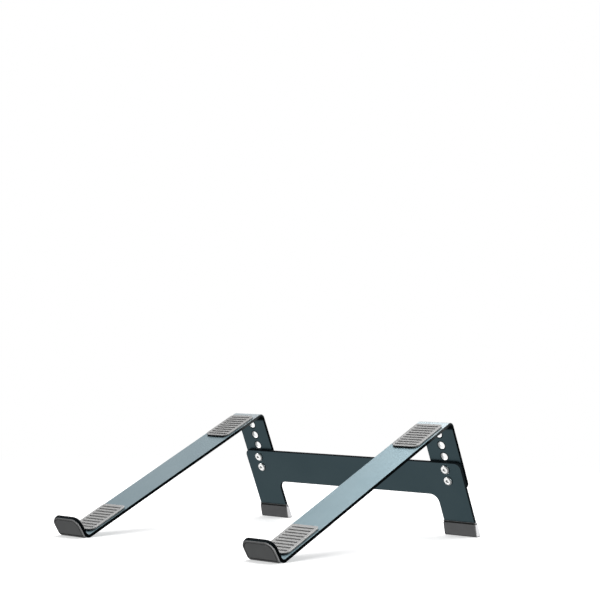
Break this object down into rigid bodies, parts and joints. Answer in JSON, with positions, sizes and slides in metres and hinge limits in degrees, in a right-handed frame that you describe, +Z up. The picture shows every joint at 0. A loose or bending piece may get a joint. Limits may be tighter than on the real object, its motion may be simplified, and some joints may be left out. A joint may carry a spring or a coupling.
{
  "type": "laptop stand",
  "caption": "Raised desk stand for a laptop: bent flat-bar arms with lips and ribbed pads, pinned to a flat two-legged rear frame on soft feet.",
  "frame": {"origin": "bottom centre of the bounding box, on the desk", "axes": "+X to the right of a user facing the laptop, +Y away from the user, +Z up"},
  "size_m": [0.2578, 0.279, 0.1022],
  "materials": {
    "anodised_aluminium": "satin teal-grey anodised",
    "dark_silicone": "matt",
    "grey_silicone": "matt",
    "foot_silicone": "matt",
    "bright_steel": "bright plated"
  },
  "bodies": {
    "stand": {"rear_frame": "anodised_aluminium", "arm_left": "anodised_aluminium", "lip_pad_left": "dark_silicone", "lip_liner_left": "dark_silicone", "foot_cap_left": "foot_silicone", "front_grip_pad_left": "grey_silicone", "rear_grip_pad_left": "grey_silicone", "arm_right": "anodised_aluminium", "lip_pad_right": "dark_silicone", "lip_liner_right": "dark_silicone", "foot_cap_right": "foot_silicone", "front_grip_pad_right": "grey_silicone", "rear_grip_pad_right": "grey_silicone"},
    "screw_left_upper": {"screw_left_upper": "bright_steel"},
    "barrel_nut_left_upper": {"barrel_nut_left_upper": "bright_steel"},
    "screw_left_lower": {"screw_left_lower": "bright_steel"},
    "barrel_nut_left_lower": {"barrel_nut_left_lower": "bright_steel"},
    "screw_right_upper": {"screw_right_upper": "bright_steel"},
    "barrel_nut_right_upper": {"barrel_nut_right_upper": "bright_steel"},
    "screw_right_lower": {"screw_right_lower": "bright_steel"},
    "barrel_nut_right_lower": {"barrel_nut_right_lower": "bright_steel"}
  },
  "joints": [
    {"name": "screw_left_upper_travel", "type": "slide", "parent": "stand", "child": "screw_left_upper", "axis": [0, -0.907, -0.421], "range_m": [0, 0.007]},
    {"name": "barrel_nut_left_upper_travel", "type": "slide", "parent": "stand", "child": "barrel_nut_left_upper", "axis": [0, 0.907, 0.421], "range_m": [0, 0.007]},
    {"name": "screw_left_lower_travel", "type": "slide", "parent": "stand", "child": "screw_left_lower", "axis": [0, -0.907, -0.421], "range_m": [0, 0.007]},
    {"name": "barrel_nut_left_lower_travel", "type": "slide", "parent": "stand", "child": "barrel_nut_left_lower", "axis": [0, 0.907, 0.421], "range_m": [0, 0.007]},
    {"name": "screw_right_upper_travel", "type": "slide", "parent": "stand", "child": "screw_right_upper", "axis": [0, -0.907, -0.421], "range_m": [0, 0.007]},
    {"name": "barrel_nut_right_upper_travel", "type": "slide", "parent": "stand", "child": "barrel_nut_right_upper", "axis": [0, 0.907, 0.421], "range_m": [0, 0.007]},
    {"name": "screw_right_lower_travel", "type": "slide", "parent": "stand", "child": "screw_right_lower", "axis": [0, -0.907, -0.421], "range_m": [0, 0.007]},
    {"name": "barrel_nut_right_lower_travel", "type": "slide", "parent": "stand", "child": "barrel_nut_right_lower", "axis": [0, 0.907, 0.421], "range_m": [0, 0.007]}
  ]
}
